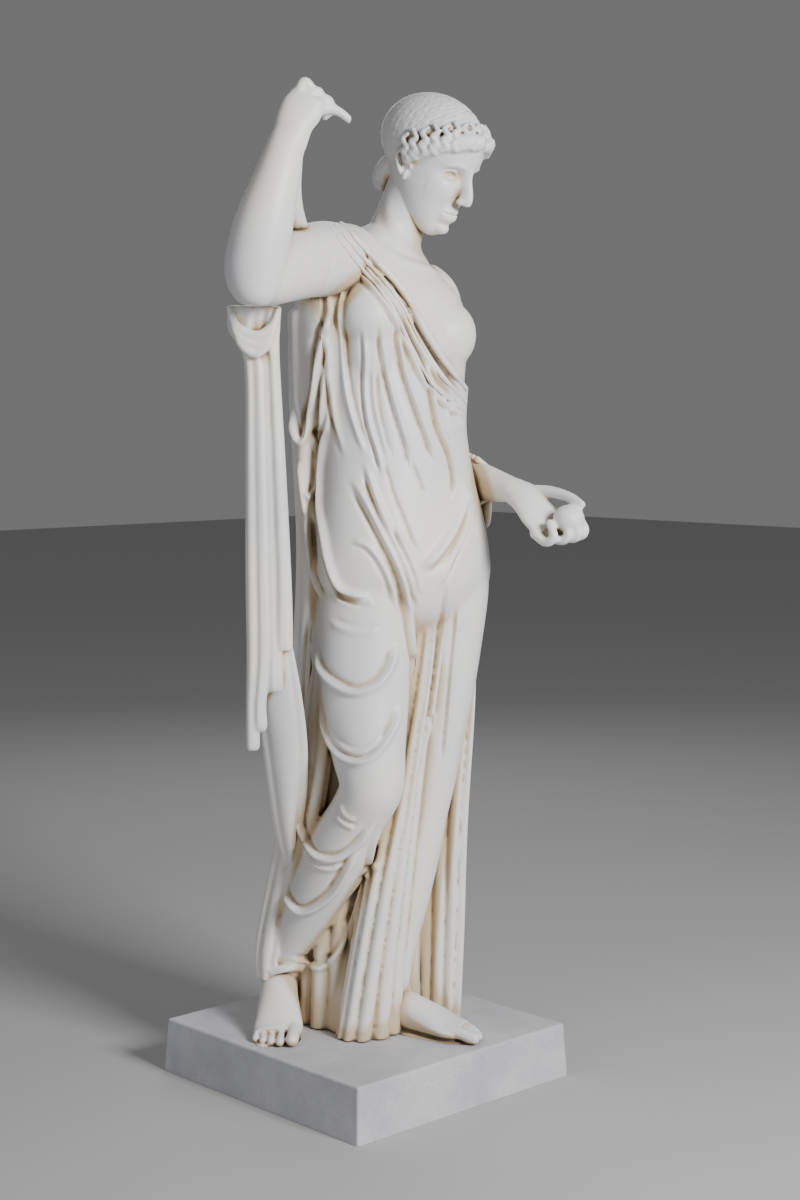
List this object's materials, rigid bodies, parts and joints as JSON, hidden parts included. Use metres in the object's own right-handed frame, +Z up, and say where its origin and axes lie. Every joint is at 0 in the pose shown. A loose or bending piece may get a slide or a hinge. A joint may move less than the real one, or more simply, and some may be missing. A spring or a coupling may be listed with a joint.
{
  "type": "draped female figure statue",
  "caption": "Life-size standing draped female figure in marble, one arm raised to draw up her mantle, the other holding out an apple, on a low square plinth.",
  "frame": {"origin": "middle of the plinth's underside", "axes": "+Z up, -Y the plinth's front, +X the figure's left"},
  "size_m": [0.6478, 0.6049, 1.7245],
  "materials": {
    "marble": "carved and smoothed, warm toning in the hollows of the folds",
    "grey_stone": "plain rubbed faces with softened, slightly chipped edges"
  },
  "bodies": {
    "root": {"figure": "marble", "plinth": "grey_stone"}
  },
  "joints": []
}
